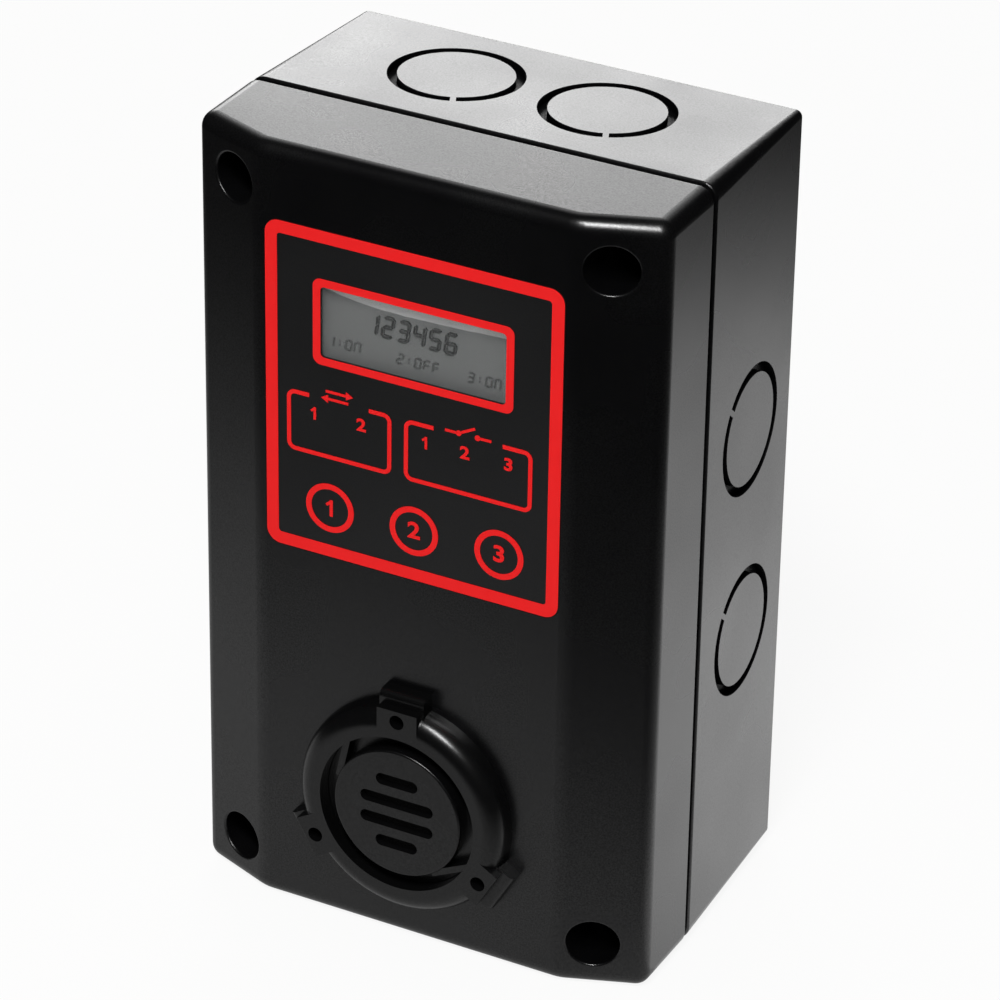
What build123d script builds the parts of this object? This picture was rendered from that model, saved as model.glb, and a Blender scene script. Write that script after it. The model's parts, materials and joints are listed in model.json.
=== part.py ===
from build123d import *
import os
from math import atan2, cos, degrees, hypot, pi, radians, sin, tan

os.makedirs("parts", exist_ok=True)

# Wall-mounted carbon monoxide transmitter in a two-part moulded box.
# Millimetres. X is to the right, Y runs back to the wall, Z is up.
# The origin is the middle of the wall face, so every depth is a distance out from the wall.

# The box as a whole
body_width = 104.0
body_height = 175.0
body_depth = 70.0
cover_depth = 26.0
overrun = 1.0
sliding_gap = 0.05
fitting_gap = 0.1

# Front of the cover: a flat panel between two side strips that slope back
strip_width = 17.0
strip_setback = 6.5
fold_radius = 9.0
corner_radius = 3.4
edge_radius = 3.3
cover_wall = 2.6

# Base with its draft, knockouts and fixings
base_draft_inset = 2.0
base_wall = 2.6
base_inner_corner = 1.2
back_wall = 3.0
rim_radius = 0.5
seam_gap = 1.4
seam_recess = 1.2
knockout_diameter = 28.2
knockout_groove_width = 2.1
knockout_groove_depth = 1.8
knockout_tab_width = 1.2
knockout_back_shift = 1.0
top_knockout_half_spacing = 17.0
side_knockout_half_spacing = 23.5
top_tab_angle = -65.0
side_tab_angle = 140.0
wall_hole_diameter = 4.8
wall_hole_from_side = 22.0
wall_hole_from_end = 12.5
wall_boss_diameter = 9.6
wall_boss_height = 2.0

# Corner screws in deep wells
screw_inset = 10.5
well_diameter = 10.3
well_wall = 1.9
well_rim_round = 0.45
well_depth = 19.0
well_floor_thickness = 3.0
column_diameter = 9.0
column_gap = 0.2
column_web = 2.0
web_drop = 1.0
screw_diameter = 3.9
screw_head_diameter = 7.2
screw_head_height = 3.0
screw_length = 15.0
screw_round = 1.1
recess_width = 1.0
recess_span = 4.2
recess_depth = 1.5
insert_diameter = 5.5
insert_length = 8.0
insert_bore = 4.0
insert_drop = 0.2

# Front film with its printing
film_top_margin = 15.7
film_side_margin = 1.75
film_boss_gap = 25.5
film_corner = 3.2
film_thickness = 0.5
ink_thickness = 0.1
border_width = 2.8
border_inner_corner = 0.8
window_width = 41.3
window_height = 15.5
window_corner = 0.9
window_drop_share = 0.276
window_x = 0.05
window_line = 1.75
group_top_share = 0.5035
group_height = 13.7
group_line = 0.9
group_corner = 1.9
group_left_margin = 4.9
group_right_margin = 6.35
group_spacing = 2.85
left_group_share = 0.4542
left_heading_gap = 13.6
right_heading_gap = 15.4
key_pitch_share = 0.2887
key_drop_share = 0.8452
key_row_x = 0.65
key_ring_diameter = 11.0
key_ring_line = 1.25

# Display stack behind the film
window_pane_thickness = 1.6
pane_lap = 1.4
glass_thickness = 1.7
backlight_thickness = 3.6
backlight_lap = 2.0
backlight_frame = 1.2
display_board_gap = 3.45
display_board_margin = 0.5
board_thickness = 1.6
board_post_diameter = 5.4
board_post_inset = 3.2
board_screw_diameter = 2.2
board_screw_head = 4.2
board_screw_head_height = 1.6
board_screw_length = 5.0
screw_tip_gap = 1.0
key_opening_diameter = 9.0
switch_side = 6.0
switch_height = 3.5
switch_pocket = 1.9
plunger_diameter = 3.5
plunger_cap_diameter = 7.0
plunger_cap_height = 1.2
plunger_rest_gap = 0.15
plunger_end_margin = 0.15
key_travel = 0.25
led_diameter = 3.0
led_flange = 3.8
led_flange_height = 1.0
led_film_gap = 0.8
led_drop_in_group = 9.1
led_hole_clearance = 0.3
left_led_shares = (0.2584, 0.7122)
right_led_shares = (0.1643, 0.4755, 0.8147)
chip_side = 12.0
chip_height = 1.6
chip_round = 0.3
driver_from_edge = 12.0

# Sensor boss, its cap and what is inside
boss_from_bottom = 33.5
boss_height = 5.6
boss_taper = 0.4
boss_round = 4.0
ring_width = 5.7
channel_width = 3.2
lug_overhang = 3.3
lug_width = 10.2
lug_drop = 2.1
lug_round = 1.5
ear_overhang = 0.5
ear_width = 9.2
ear_hole_radius = 1.65
ear_hole_inset = 2.0
lug_angles = (90.0, 210.0, 330.0)
cap_disc_setback = 0.2
cap_disc_round = 0.5
cap_wall = 2.0
cap_cell_gap = 2.7
cap_flange_thickness = 1.2
channel_depth = 3.6
cap_rib_angles = (142.0, 322.0)
cap_rib_turns = (-64.0, 64.0)
cap_rib_width = 1.4
cap_rib_reach = 5.5
cap_rib_setback = 0.9
slot_width = 2.7
slot_pitch = 4.95
long_slot = 16.9
short_slot = 9.7
filter_thickness = 1.1
cell_radius = 10.0
cell_height = 16.5
cell_clearance = 0.4
cell_rim = 1.6
cell_rim_depth = 0.6
cell_pin_circle = 6.75
cell_pin_diameter = 1.5
cell_pin_length = 3.7
cell_pin_angles = (90.0, 210.0, 330.0)
socket_diameter = 3.0
socket_end_gap = 0.3
neck_inset = 1.5
neck_hole_clearance = 0.4
nut_wall = 4.6
nut_height = 4.0
nut_chamfer_share = 0.96
seal_from_neck = 2.2
seal_width = 2.2
seal_thickness = 1.2
sensor_board_half_width = 20.0
sensor_board_below_axis = 22.0
board_overlap = 9.2
sensor_screw_diameter = 2.0
sensor_screw_length = 8.0
link_width = 16.0
link_thickness = 2.5
link_below_top = 4.5

# Main board in the base, with places measured from its edges
board_side_gap = 2.4
board_end_gap = 6.5
standoff_height = 7.0
standoff_diameter = 6.4
standoff_from_side = 5.0
standoff_from_end = 8.0
part_round = 0.6
relay_width = 15.4
relay_height_z = 19.2
relay_depth = 15.3
relay_from_left = 16.0
relay_spacing = 19.0
relay_terminal_gap = 3.4
terminal_pitch = 5.08
terminal_depth_z = 10.0
terminal_rise = 12.0
terminal_ledge = 3.2
terminal_ledge_rise = 8.0
terminal_edge_gap = 3.0
wire_mouth_width = 3.6
wire_mouth_height = 4.4
wire_mouth_depth = 6.0
wire_mouth_lift = 2.0
terminal_screw_diameter = 3.4
terminal_screw_depth = 4.0
terminal_screw_sink = 0.6
terminal_slot_width = 0.7
terminal_slot_depth = 0.8
relay_terminal_ways = 3
network_terminal_ways = 4
network_terminal_from_left = 21.0
supply_terminal_ways = 2
supply_parts_from_right = 14.0
capacitor_diameter = 10.0
capacitor_height = 16.0
capacitor_round = 0.8
capacitor_first_drop = 26.0
capacitor_pitch = 13.0
converter_width = 22.0
converter_height_z = 12.0
converter_depth = 10.0
converter_from_right = 17.0
converter_drop = 58.0
choke_outer = 13.0
choke_inner = 6.0
choke_height = 6.5
choke_round = 1.4
choke_x = 10.0
choke_drop = 24.0
fuse_diameter = 5.2
fuse_cap_length = 5.0
fuse_glass_diameter = 4.8
fuse_length = 20.0
fuse_drop = 82.0
clip_length = 5.6
clip_wall = 0.6
clip_rise = 7.5
processor_from_left = 19.0
processor_drop = 58.0
crystal_from_left = 31.0
crystal_width = 4.6
crystal_height_z = 11.0
crystal_depth = 3.6
header_rise = 9.0
header_wall = 1.2
header_floor = 2.0
main_header_drop = 42.0
plug_width = 22.0
plug_height_z = 5.6
plug_rise = 6.4
plug_lip = 0.5
plug_end_gap = 0.8
plug_side_gap = 0.4
display_plug_drop = 23.8
ribbon_inset = 1.0
ribbon_thickness = 0.9
ribbon_lead = 11.0
ribbon_turn_share = 0.45

# Places on the box that follow from the sizes above
seam_depth = body_depth - cover_depth
base_rim = seam_depth - seam_gap / 2
cover_rim = seam_depth + seam_gap / 2
panel_half_width = body_width / 2 - strip_width
strip_angle = degrees(atan2(strip_setback, strip_width))
draft_angle = degrees(atan2(base_draft_inset, base_rim))
knockout_depth = seam_depth / 2 - knockout_back_shift
wall_hole_half_x = body_width / 2 - wall_hole_from_side
wall_hole_half_z = body_height / 2 - wall_hole_from_end
screw_half_x = body_width / 2 - screw_inset
screw_half_z = body_height / 2 - screw_inset
well_floor = body_depth - well_depth
well_outer_radius = well_diameter / 2 + well_wall
column_end = well_floor - well_floor_thickness - column_gap
web_end = min(base_rim, column_end) - web_drop
panel_inside = body_depth - cover_wall

# Sensor radii, outwards from the cell, and its distances from the wall
cell_bore = cell_radius + cell_clearance
cap_hollow = cell_radius + cap_cell_gap
cap_disc_radius = cap_hollow + cap_wall
channel_outer_radius = cap_disc_radius + channel_width
boss_front_radius = channel_outer_radius + ring_width
boss_base_radius = boss_front_radius + boss_taper
lug_reach = boss_base_radius + lug_overhang
ear_reach = boss_base_radius + ear_overhang
ear_hole_circle = boss_base_radius - ear_hole_inset
neck_radius = channel_outer_radius - neck_inset
sensor_screw_radius = (cell_bore + neck_radius) / 2
seal_inner_radius = neck_radius + seal_from_neck
boss_z = boss_from_bottom - body_height / 2
boss_front = body_depth + boss_height
cap_front = boss_front - cap_disc_setback
cap_flange_front = boss_front - channel_depth
cap_flange_back = cap_flange_front - cap_flange_thickness
filter_front = cap_front - cap_wall
filter_back = filter_front - filter_thickness
cell_front = filter_back
cell_back = cell_front - cell_height
sensor_board_front = cell_back - cell_pin_length - socket_end_gap
sensor_board_back = sensor_board_front - board_thickness

# Film, its printing and the display stack
film_back = body_depth - film_thickness
film_width = 2 * (panel_half_width - film_side_margin)
film_top = body_height / 2 - film_top_margin
film_bottom = boss_z + lug_reach + film_boss_gap
film_height = film_top - film_bottom
film_centre_z = (film_top + film_bottom) / 2
window_z = film_top - film_height * window_drop_share
group_top = film_top - film_height * group_top_share
group_z = group_top - group_height / 2
group_left = group_left_margin - film_width / 2
group_right = film_width / 2 - group_right_margin
left_group_width = (group_right - group_left - group_spacing) * left_group_share
right_group_width = group_right - group_left - group_spacing - left_group_width
left_group_x = group_left + left_group_width / 2
right_group_x = group_right - right_group_width / 2
key_pitch = film_width * key_pitch_share
key_places = [key_row_x + key_pitch * step for step in (-1, 0, 1)]
key_z = film_top - film_height * key_drop_share
led_z = group_top - led_drop_in_group
pane_back = film_back - window_pane_thickness
glass_front = pane_back - fitting_gap
glass_back = glass_front - glass_thickness
board_front = glass_back - backlight_thickness
board_back = board_front - board_thickness
led_height = film_back - board_front - led_film_gap
display_board_width = 2 * (screw_half_x - well_outer_radius - display_board_gap)
display_board_height = film_height - 2 * display_board_margin
post_half_x = display_board_width / 2 - board_post_inset
post_half_z = display_board_height / 2 - board_post_inset
display_plug_z = film_top - display_plug_drop
sensor_board_top = film_bottom + display_board_margin + board_overlap
sensor_board_low = boss_z - sensor_board_below_axis
link_z = sensor_board_top - link_below_top

# Main board and what stands on it
main_board_width = body_width - 2 * (base_draft_inset + base_wall + board_side_gap)
main_board_height = 2 * (screw_half_z - column_diameter / 2 - board_end_gap)
main_board_back = back_wall + standoff_height
main_board_front = main_board_back + board_thickness
board_right = main_board_width / 2
board_left = -board_right
board_top = main_board_height / 2
standoff_half_x = board_right - standoff_from_side
standoff_half_z = board_top - standoff_from_end
terminal_row_z = board_top - terminal_edge_gap - terminal_depth_z / 2
relay_z = relay_terminal_gap + (terminal_depth_z + relay_height_z) / 2 - terminal_row_z
relay_places = [board_left + relay_from_left + relay_spacing * step for step in range(3)]
supply_x = board_right - supply_parts_from_right
main_header_z = board_top - main_header_drop
header_width = plug_width + 2 * (plug_end_gap + header_wall)
header_height_z = plug_height_z + 2 * (plug_side_gap + header_wall)
ribbon_width = plug_width - 2 * ribbon_inset
clip_width = fuse_diameter + 2 * (fitting_gap + clip_wall)
fuse_lift = fuse_diameter / 2 + clip_wall + fitting_gap


def front_plane(depth, x=0.0, z=0.0):
    """A plane at a distance out from the wall, facing the viewer, with X right and Z up."""
    return Plane(origin=(x, -depth, z), x_dir=(1, 0, 0), z_dir=(0, -1, 0))


def raised(sketch, low, high, x=0.0, z=0.0):
    """A front-view outline made solid between two distances out from the wall."""
    return extrude(front_plane(low, x, z) * sketch, amount=high - low)


def rod(radius, low, high, x=0.0, z=0.0):
    return raised(Circle(radius), low, high, x, z)


def tube(outer, inner, low, high, x=0.0, z=0.0):
    return raised(Circle(outer) - Circle(inner), low, high, x, z)


def at_corners(half_x, half_z):
    return [(sx * half_x, sz * half_z) for sx in (-1, 1) for sz in (-1, 1)]


def on_circle(radius, angle, centre_z=0.0):
    turn = radians(angle)
    return radius * cos(turn), centre_z + radius * sin(turn)


def joined(solids):
    """Several separate solids kept as one group."""
    return Part() + list(solids)


def edges_at_depth(shape, depth):
    """Edges that lie wholly at one distance out from the wall."""
    found = []
    for edge in shape.edges():
        box = edge.bounding_box()
        if abs(box.min.Y + depth) < fitting_gap and abs(box.max.Y + depth) < fitting_gap:
            found.append(edge)
    return found


# Base

def base_section(depth, inset):
    """Outline of the drafted base at a distance out from the wall."""
    shrink = base_draft_inset * (base_rim - depth) / base_rim
    width = body_width - 2 * (shrink + inset)
    height = body_height - 2 * (shrink + inset)
    corner = corner_radius - shrink if inset == 0 else base_inner_corner
    return front_plane(depth) * RectangleRounded(width, height, corner)


def knockout_cutter(plane, tab_angle):
    """Ring groove that leaves one tab uncut, so the disc stays until it is knocked out."""
    outer = knockout_diameter / 2
    ring = Circle(outer) - Circle(outer - knockout_groove_width)
    reach = outer - knockout_groove_width / 2
    tab = Rectangle(2 * knockout_groove_width, knockout_tab_width)
    ring -= Rot(0, 0, tab_angle) * Pos(reach, 0) * tab
    cutter = extrude(plane * ring, amount=overrun)
    cutter += extrude(plane * ring, amount=-knockout_groove_depth)
    return cutter


def knockout_planes():
    """Planes on the four drafted sides, with the angle of each knockout's tab."""
    depth = knockout_depth
    shrink = base_draft_inset * (base_rim - depth) / base_rim
    lean = radians(draft_angle)
    planes = []
    for side in (-1, 1):
        z = side * (body_height / 2 - shrink)
        for end in (-1, 1):
            x = end * top_knockout_half_spacing
            normal = (0, sin(lean), side * cos(lean))
            tab = top_tab_angle * side
            planes.append((Plane(origin=(x, -depth, z), x_dir=(1, 0, 0), z_dir=normal), tab))
        x = side * (body_width / 2 - shrink)
        for end in (-1, 1):
            z = end * side_knockout_half_spacing
            normal = (side * cos(lean), sin(lean), 0)
            along = (0, 0, 1)
            tab = (90 - side_tab_angle) * side
            planes.append((Plane(origin=(x, -depth, z), x_dir=along, z_dir=normal), -tab))
    return planes


def corner_column(x, z):
    """Screw column with two webs to the walls beside it."""
    side_x = 1 if x > 0 else -1
    side_z = 1 if z > 0 else -1
    reach_x = body_width / 2 - base_draft_inset - base_wall / 2 - abs(x)
    reach_z = body_height / 2 - base_draft_inset - base_wall / 2 - abs(z)
    column = rod(column_diameter / 2, back_wall / 2, column_end, x, z)
    across = Rectangle(reach_x, column_web)
    upward = Rectangle(column_web, reach_z)
    column += raised(across, back_wall / 2, web_end, x + side_x * reach_x / 2, z)
    column += raised(upward, back_wall / 2, web_end, x, z + side_z * reach_z / 2)
    return column


def make_base():
    shell = loft([base_section(0, 0), base_section(base_rim, 0)], ruled=True)
    shell = fillet(edges_at_depth(shell, base_rim) + edges_at_depth(shell, 0), rim_radius)
    hollow = [base_section(back_wall, base_wall), base_section(base_rim + overrun, base_wall)]
    shell -= loft(hollow, ruled=True)
    for x, z in at_corners(screw_half_x, screw_half_z):
        shell += corner_column(x, z)
    for x, z in at_corners(wall_hole_half_x, wall_hole_half_z):
        shell += rod(wall_boss_diameter / 2, back_wall / 2, back_wall + wall_boss_height, x, z)
    for x, z in at_corners(standoff_half_x, standoff_half_z):
        shell += rod(standoff_diameter / 2, back_wall / 2, main_board_back, x, z)
    for x, z in at_corners(screw_half_x, screw_half_z):
        pocket = insert_diameter / 2 + sliding_gap
        shell -= rod(pocket, well_floor - screw_length - screw_tip_gap, column_end + overrun, x, z)
    for x, z in at_corners(wall_hole_half_x, wall_hole_half_z):
        shell -= rod(wall_hole_diameter / 2, -overrun, back_wall + wall_boss_height + overrun, x, z)
    for x, z in at_corners(standoff_half_x, standoff_half_z):
        bore = board_screw_diameter / 2 + sliding_gap
        shell -= rod(bore, main_board_front - board_screw_length - screw_tip_gap, main_board_front, x, z)
    for plane, tab_angle in knockout_planes():
        shell -= knockout_cutter(plane, tab_angle)
    return shell


# Cover

def cover_outline(inset):
    """Plan of the cover seen from above: flat panel, two sloping strips and the sides."""
    half = body_width / 2 - inset
    fold_x = panel_half_width - inset * tan(radians(strip_angle / 2))
    front = -(body_depth - inset)
    strip_end = front + (half - fold_x) * tan(radians(strip_angle))
    back = -cover_rim if inset == 0 else -cover_rim + overrun
    return fold_x, front, [(-half, back), (-half, strip_end), (-fold_x, front),
                           (fold_x, front), (half, strip_end), (half, back)]


def cover_block(inset):
    fold_x, front, points = cover_outline(inset)
    outline = make_face(Polyline(*points, close=True))
    folds = [v for v in outline.vertices() if abs(v.Y - front) < fitting_gap]
    outline = fillet(folds, fold_radius - inset)
    height = body_height - 2 * inset
    return extrude(Pos(0, 0, -height / 2) * outline, amount=height)


def rounded_cover_block():
    block = cover_block(0)
    sharp = []
    for edge in block.edges():
        box = edge.bounding_box()
        at_end = abs(abs(edge.center().Z) - body_height / 2) < fitting_gap
        at_rim = abs(box.max.Y + cover_rim) < fitting_gap and abs(box.min.Y + cover_rim) < fitting_gap
        at_side = abs(abs(edge.center().X) - body_width / 2) < fitting_gap
        if (at_end or at_side) and not at_rim:
            sharp.append(edge)
    return fillet(sharp, edge_radius)


def outside_below(depth, block):
    """The cover's filled outline, carried on past its rim as far as a well's floor needs."""
    low = min(depth, cover_rim)
    inner = Rectangle(body_width - 2 * base_wall, body_height - 2 * base_wall)
    return block + raised(inner, low, cover_rim + overrun)


def well_rims(shell):
    """Edges where the four screw wells break through the cover's front."""
    rims = []
    for edge in shell.edges():
        box = edge.bounding_box()
        reach = max(hypot(abs(x) - screw_half_x, abs(z) - screw_half_z)
                    for x in (box.min.X, box.max.X) for z in (box.min.Z, box.max.Z))
        in_front = -box.max.Y > body_depth - strip_setback - edge_radius
        if in_front and reach < well_diameter:
            rims.append(edge)
    return rims


def make_cover():
    shell = rounded_cover_block()
    shell = fillet(edges_at_depth(shell, cover_rim), rim_radius)
    shell -= cover_block(cover_wall)
    outside = cover_block(cover_wall / 2)
    floor_back = well_floor - well_floor_thickness
    for x, z in at_corners(screw_half_x, screw_half_z):
        well = rod(well_outer_radius, floor_back, body_depth, x, z) & outside_below(floor_back, outside)
        shell += well
    for x, z in at_corners(post_half_x, post_half_z):
        post = rod(board_post_diameter / 2, board_front, panel_inside + cover_wall / 2, x, z)
        shell += Pos(0, 0, film_centre_z) * post
    for x, z in at_corners(screw_half_x, screw_half_z):
        shell -= rod(well_diameter / 2, well_floor, body_depth + overrun, x, z)
    shell = fillet(well_rims(shell), well_rim_round)
    for x, z in at_corners(screw_half_x, screw_half_z):
        clearance = screw_diameter / 2 + fitting_gap
        shell -= rod(clearance, floor_back - overrun, well_floor, x, z)
    for x, z in at_corners(post_half_x, post_half_z):
        bore = board_screw_diameter / 2 + sliding_gap
        shell -= rod(bore, board_front - overrun, board_front + board_screw_length, x, film_centre_z + z)
    shell -= raised(film_sketch(fitting_gap), film_back, body_depth + overrun, 0, film_centre_z)
    pane = RectangleRounded(window_width + 2 * (pane_lap + fitting_gap),
                            window_height + 2 * (pane_lap + fitting_gap), window_corner)
    shell -= raised(pane, panel_inside - overrun, body_depth, window_x, window_z)
    for x in key_places:
        shell -= rod(key_opening_diameter / 2, panel_inside - overrun, body_depth, x, key_z)
    for x in led_places():
        shell -= rod(led_diameter / 2 + led_hole_clearance, panel_inside - overrun, body_depth, x, led_z)
    shell -= rod(neck_radius + neck_hole_clearance, panel_inside - overrun, body_depth + overrun, 0, boss_z)
    return shell


def make_seam_gasket():
    outer = RectangleRounded(body_width - 2 * seam_recess, body_height - 2 * seam_recess,
                             corner_radius - seam_recess)
    inner = RectangleRounded(body_width - 2 * base_wall, body_height - 2 * base_wall, base_inner_corner)
    return raised(outer - inner, base_rim, cover_rim)


def make_cover_screws():
    screws = []
    for x, z in at_corners(screw_half_x, screw_half_z):
        top = well_floor + screw_head_height
        head = rod(screw_head_diameter / 2, well_floor, top, x, z)
        head = fillet(edges_at_depth(head, top), screw_round)
        cross = Rectangle(recess_span, recess_width) + Rectangle(recess_width, recess_span)
        head -= raised(cross, top - recess_depth, top + overrun, x, z)
        head += rod(screw_diameter / 2, well_floor - screw_length, well_floor, x, z)
        screws.append(head)
    return joined(screws)


def make_screw_inserts():
    high = column_end - insert_drop
    return joined(tube(insert_diameter / 2, insert_bore / 2, high - insert_length, high, x, z)
                  for x, z in at_corners(screw_half_x, screw_half_z))


# Film and printing

def film_sketch(clearance=0.0):
    return RectangleRounded(film_width + 2 * clearance, film_height + 2 * clearance, film_corner + clearance)


def make_front_overlay():
    film = raised(film_sketch(), film_back, body_depth, 0, film_centre_z)
    opening = RectangleRounded(window_width, window_height, window_corner)
    return film - raised(opening, film_back - overrun, body_depth + overrun, window_x, window_z)


def ink(sketch, x, z):
    return raised(sketch, body_depth, body_depth + ink_thickness, x, z)


def group_frame(x, width, gap):
    """Printed frame with a break in its top line for the heading."""
    outer = RectangleRounded(width, group_height, group_corner)
    inner = RectangleRounded(width - 2 * group_line, group_height - 2 * group_line, group_corner - group_line)
    heading = Pos(0, group_height / 2) * Rectangle(gap, 2 * group_line + fitting_gap)
    return ink(outer - inner - heading, x, group_z)


def make_overlay_print():
    border_inner = RectangleRounded(film_width - 2 * border_width, film_height - 2 * border_width,
                                    border_inner_corner)
    border = film_sketch(-fitting_gap) - border_inner
    frame_outer = RectangleRounded(window_width + 2 * window_line, window_height + 2 * window_line,
                                   window_corner + window_line / 2)
    frame_inner = RectangleRounded(window_width + fitting_gap, window_height + fitting_gap, window_corner)
    prints = [ink(border, 0, film_centre_z), ink(frame_outer - frame_inner, window_x, window_z)]
    prints.append(group_frame(left_group_x, left_group_width, left_heading_gap))
    prints.append(group_frame(right_group_x, right_group_width, right_heading_gap))
    ring = Circle(key_ring_diameter / 2) - Circle(key_ring_diameter / 2 - key_ring_line)
    for x in key_places:
        prints.append(ink(ring, x, key_z))
    return joined(prints)


# Display stack

def make_display_window():
    pane = RectangleRounded(window_width + 2 * pane_lap, window_height + 2 * pane_lap, window_corner)
    return raised(pane, pane_back, film_back, window_x, window_z)


def make_display_glass():
    pane = RectangleRounded(window_width + 2 * pane_lap - fitting_gap,
                            window_height + 2 * pane_lap - fitting_gap, window_corner)
    return raised(pane, glass_back, glass_front, window_x, window_z)


def make_display_backlight():
    lap = pane_lap + backlight_lap
    outer = Rectangle(window_width + 2 * lap, window_height + 2 * lap)
    pocket = Rectangle(window_width, window_height)
    block = raised(outer, board_front, glass_back, window_x, window_z)
    return block - raised(pocket, glass_back - backlight_frame, glass_back + overrun, window_x, window_z)


def make_display_board():
    outline = Rectangle(display_board_width, display_board_height)
    board = raised(outline, board_back, board_front, 0, film_centre_z)
    for x, z in at_corners(post_half_x, post_half_z):
        hole = board_screw_diameter / 2 + fitting_gap
        board -= rod(hole, board_back - overrun, board_front + overrun, x, film_centre_z + z)
    return board


def board_screw(low, head_out, x, z, diameter=board_screw_diameter, length=board_screw_length):
    """Small pan-head screw: its head sits at a distance out from the wall, its shank either way."""
    head_end = low + head_out * board_screw_head_height
    shank_end = low - head_out * length
    head = rod(board_screw_head / 2, min(low, head_end), max(low, head_end), x, z)
    return head + rod(diameter / 2, min(low, shank_end), max(low, shank_end), x, z)


def make_display_board_screws():
    length = board_screw_length + board_thickness - screw_tip_gap
    return joined(board_screw(board_back, -1, x, film_centre_z + z, board_screw_diameter, length)
                  for x, z in at_corners(post_half_x, post_half_z))


def make_key_switch(x):
    high = board_front + switch_height
    body = raised(RectangleRounded(switch_side, switch_side, part_round), board_front, high, x, key_z)
    return body - rod(plunger_diameter / 2 + sliding_gap, high - switch_pocket, high + overrun, x, key_z)


def make_key_plunger(x):
    high = film_back - plunger_rest_gap
    low = board_front + switch_height - switch_pocket + key_travel + plunger_end_margin
    stem = rod(plunger_diameter / 2, low, high - plunger_cap_height, x, key_z)
    cap = rod(plunger_cap_diameter / 2, high - plunger_cap_height, high, x, key_z)
    cap = fillet(edges_at_depth(cap, high), part_round / 2)
    return stem + cap


def led_places():
    """One light behind each caption place of the two printed frames."""
    left = [group_left + left_group_width * share for share in left_led_shares]
    start = group_right - right_group_width
    return left + [start + right_group_width * share for share in right_led_shares]


def make_status_led(x):
    body = rod(led_flange / 2, board_front, board_front + led_flange_height, x, led_z)
    top = board_front + led_height
    dome = rod(led_diameter / 2, board_front + led_flange_height, top, x, led_z)
    dome = fillet(edges_at_depth(dome, top), led_diameter / 2 - fitting_gap)
    return body + dome


def box_part(width, height, low, high, x, z, round_share=1.0):
    """A component's moulded block with its front edges rounded."""
    block = raised(Rectangle(width, height), low, high, x, z)
    return fillet(edges_at_depth(block, high), part_round * round_share)


def make_display_plug():
    """Ribbon plug on the back of the display board."""
    return raised(Rectangle(plug_width, plug_height_z), board_back - plug_rise, board_back, 0, display_plug_z)


def make_display_driver():
    return raised(RectangleRounded(chip_side, chip_side, chip_round), board_back - chip_height, board_back,
                  display_board_width / 2 - driver_from_edge, film_centre_z - chip_side / 2)


# Sensor

def revolved(points):
    """A turned form on the sensor's axis from pairs of radius and distance out from the wall."""
    outline = make_face(Polyline(*[(radius, -depth) for radius, depth in points], close=True))
    turned = revolve(outline, axis=Axis.Y)
    return Pos(0, 0, boss_z) * turned


def lug_block(width, reach, high, angle):
    """A block that runs out from the boss at an angle, as far as its reach."""
    length = reach - channel_outer_radius
    shape = Rot(0, 0, angle) * Pos(channel_outer_radius + length / 2, 0) * Rectangle(length, width)
    return raised(shape, body_depth, high, 0, boss_z)


def rounded_tip(block, high, reach):
    """Rounds the outer edge of a lug at its front face."""
    tips = []
    for edge in edges_at_depth(block, high):
        middle = edge.center()
        if hypot(middle.X, middle.Z - boss_z) > reach - fitting_gap:
            tips.append(edge)
    return fillet(tips, lug_round)


def make_sensor_housing():
    neck_end = sensor_board_front
    body = revolved([(cell_bore, neck_end), (neck_radius, neck_end), (neck_radius, body_depth),
                     (boss_base_radius, body_depth), (boss_front_radius, boss_front),
                     (channel_outer_radius, boss_front), (channel_outer_radius, cap_flange_back),
                     (cell_bore, cap_flange_back)])
    rim = [e for e in edges_at_depth(body, boss_front) if e.radius > channel_outer_radius + fitting_gap]
    body = fillet(rim, boss_round)
    for angle in lug_angles:
        lug = lug_block(lug_width, lug_reach, boss_front - lug_drop, angle)
        ear = lug_block(ear_width, ear_reach, boss_front, angle)
        body += rounded_tip(lug, boss_front - lug_drop, lug_reach)
        body += ear
    for angle in lug_angles:
        x, z = on_circle(ear_hole_circle, angle, boss_z)
        body -= rod(ear_hole_radius, body_depth - overrun, boss_front + overrun, x, z)
    seal_outer = seal_inner_radius + seal_width
    groove = tube(seal_outer - seal_width / 2, seal_inner_radius - fitting_gap, body_depth - overrun,
                  body_depth + seal_thickness, 0, boss_z)
    body -= groove
    for side in (-1, 1):
        bore = sensor_screw_diameter / 2 + sliding_gap
        high = sensor_board_front + sensor_screw_length
        body -= rod(bore, sensor_board_front - overrun, high, side * sensor_screw_radius, boss_z)
    return body


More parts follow.
